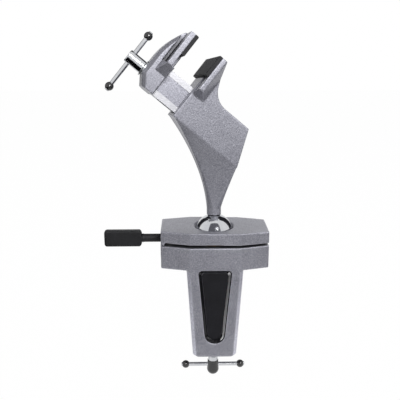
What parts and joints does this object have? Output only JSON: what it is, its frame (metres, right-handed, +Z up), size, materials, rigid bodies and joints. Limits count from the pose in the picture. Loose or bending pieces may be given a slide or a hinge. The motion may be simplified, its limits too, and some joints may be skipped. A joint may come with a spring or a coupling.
{
  "type": "ball-joint table vise",
  "caption": "Small vise on a lockable ball joint and a table clamp. A spindle closes its padded jaws, a side lever locks the ball, and a screw from below grips the table.",
  "frame": {"origin": "on the ball's upright axis, at the block's flat underside that rests on the table top", "axes": "+X along the block away from its lever, +Y over the table away from the column, +Z up towards the vise head"},
  "size_m": [0.1301, 0.0595, 0.2871],
  "materials": {
    "hammertone": "satin",
    "chromed_steel": "polished",
    "plain_steel": "satin",
    "black_steel": "satin",
    "bright_trim": "satin",
    "black_gloss": "gloss",
    "grip_plastic": "matte",
    "knob_plastic": "gloss",
    "pad_rubber": "matte",
    "brass_seat": "satin"
  },
  "bodies": {
    "table_clamp": {"clamp_frame": "hammertone", "socket_cap": "hammertone", "cap_screws": "black_steel", "bolt_washer": "plain_steel", "plate_bezel": "black_gloss", "name_plate": "black_gloss"},
    "lever": {"clamp_bolt": "black_steel", "lever_hub": "plain_steel", "hub_grub_screw": "black_steel", "lever_rod": "chromed_steel", "lever_grip": "grip_plastic"},
    "seat_ring": {"ball_cup": "brass_seat"},
    "ball": {"ball_stud": "chromed_steel"},
    "head": {"vise_arm": "hammertone", "fixed_jaw_pad": "pad_rubber", "spindle_nut": "brass_seat"},
    "jaw": {"movable_jaw": "hammertone", "movable_jaw_pad": "pad_rubber", "thrust_washer": "plain_steel"},
    "screw": {"spindle": "chromed_steel", "retaining_ring": "black_steel"},
    "handle": {"tommy_bar": "chromed_steel", "tommy_bar_knobs": "knob_plastic"},
    "foot": {"clamp_foot": "plain_steel", "foot_pad": "pad_rubber"},
    "clamp_spindle": {"clamp_screw": "chromed_steel", "clamp_screw_head": "knob_plastic"},
    "clamp_handle": {"clamp_bar": "chromed_steel", "clamp_bar_knobs": "knob_plastic"}
  },
  "joints": [
    {"name": "lever_swing", "type": "hinge", "parent": "table_clamp", "child": "lever", "pos_m": [-0.0295, 0, 0.0197], "axis": [0, 0, 1], "range_deg": [-25, 25]},
    {"name": "ball_azimuth", "type": "hinge", "parent": "table_clamp", "child": "seat_ring", "pos_m": [0, 0, 0.02443], "axis": [0, 0, 1], "continuous": true},
    {"name": "ball_tilt", "type": "hinge", "parent": "seat_ring", "child": "ball", "pos_m": [0, 0, 0.02443], "axis": [0.9857, 0.1685, 0], "range_deg": [-35.4, 44.6]},
    {"name": "head_spin", "type": "hinge", "parent": "ball", "child": "head", "pos_m": [0, 0, 0.02443], "axis": [-0.0135, 0.079, 0.9968], "continuous": true},
    {"name": "jaw_slide", "type": "slide", "parent": "head", "child": "jaw", "axis": [-0.7638, -0.0783, 0.6407], "range_m": [-0.0196, 0.0204]},
    {"name": "spindle_turn", "type": "hinge", "parent": "jaw", "child": "screw", "pos_m": [-0.06216, 0.00044, 0.16007], "axis": [-0.7638, -0.0783, 0.6407], "range_deg": [-3530, 3675]},
    {"name": "tommy_slide", "type": "slide", "parent": "screw", "child": "handle", "axis": [0.6232, 0.1689, 0.7636], "range_m": [-0.0119, 0.018]},
    {"name": "clamp_lift", "type": "slide", "parent": "table_clamp", "child": "foot", "axis": [0, 0, 1], "range_m": [-0.0235, 0.0145]},
    {"name": "clamp_turn", "type": "hinge", "parent": "foot", "child": "clamp_spindle", "pos_m": [0, 0.007, -0.09], "axis": [0, 0, 1], "range_deg": [-5645, 3485]},
    {"name": "clamp_bar_slide", "type": "slide", "parent": "clamp_spindle", "child": "clamp_handle", "axis": [1, 0, 0], "range_m": [-0.015, 0.015]}
  ],
  "couplings": [
    {"joint": "spindle_turn", "follows": "jaw_slide", "rad_per_m": 3141.6},
    {"joint": "clamp_turn", "follows": "clamp_lift", "rad_per_m": 4188.8}
  ]
}
